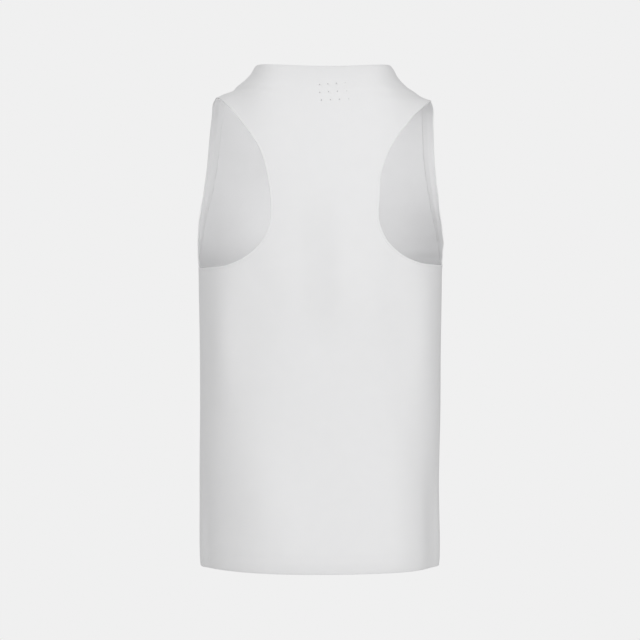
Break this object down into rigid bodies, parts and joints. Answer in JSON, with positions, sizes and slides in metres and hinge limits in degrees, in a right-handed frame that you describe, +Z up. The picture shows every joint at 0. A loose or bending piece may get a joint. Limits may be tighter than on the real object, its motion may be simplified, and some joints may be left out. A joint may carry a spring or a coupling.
{
  "type": "running singlet",
  "caption": "Sleeveless racerback running top in thin white cloth, filled out as worn, open at neck, armholes and hem.",
  "frame": {"origin": "midway between the two straps, level with their undersides, where the wearer's shoulders carry the singlet", "axes": "+Z up, the wearer faces -Y, and +X is the wearer's left"},
  "size_m": [0.347, 0.2638, 0.7011],
  "materials": {
    "body_cloth": "smooth light knit, matt with a faint sheen",
    "binding_cloth": "smooth stretch binding, matt"
  },
  "bodies": {
    "root": {"back_panel": "body_cloth", "front_panel": "body_cloth", "armhole_binding_left": "binding_cloth", "armhole_binding_right": "binding_cloth"}
  },
  "joints": []
}
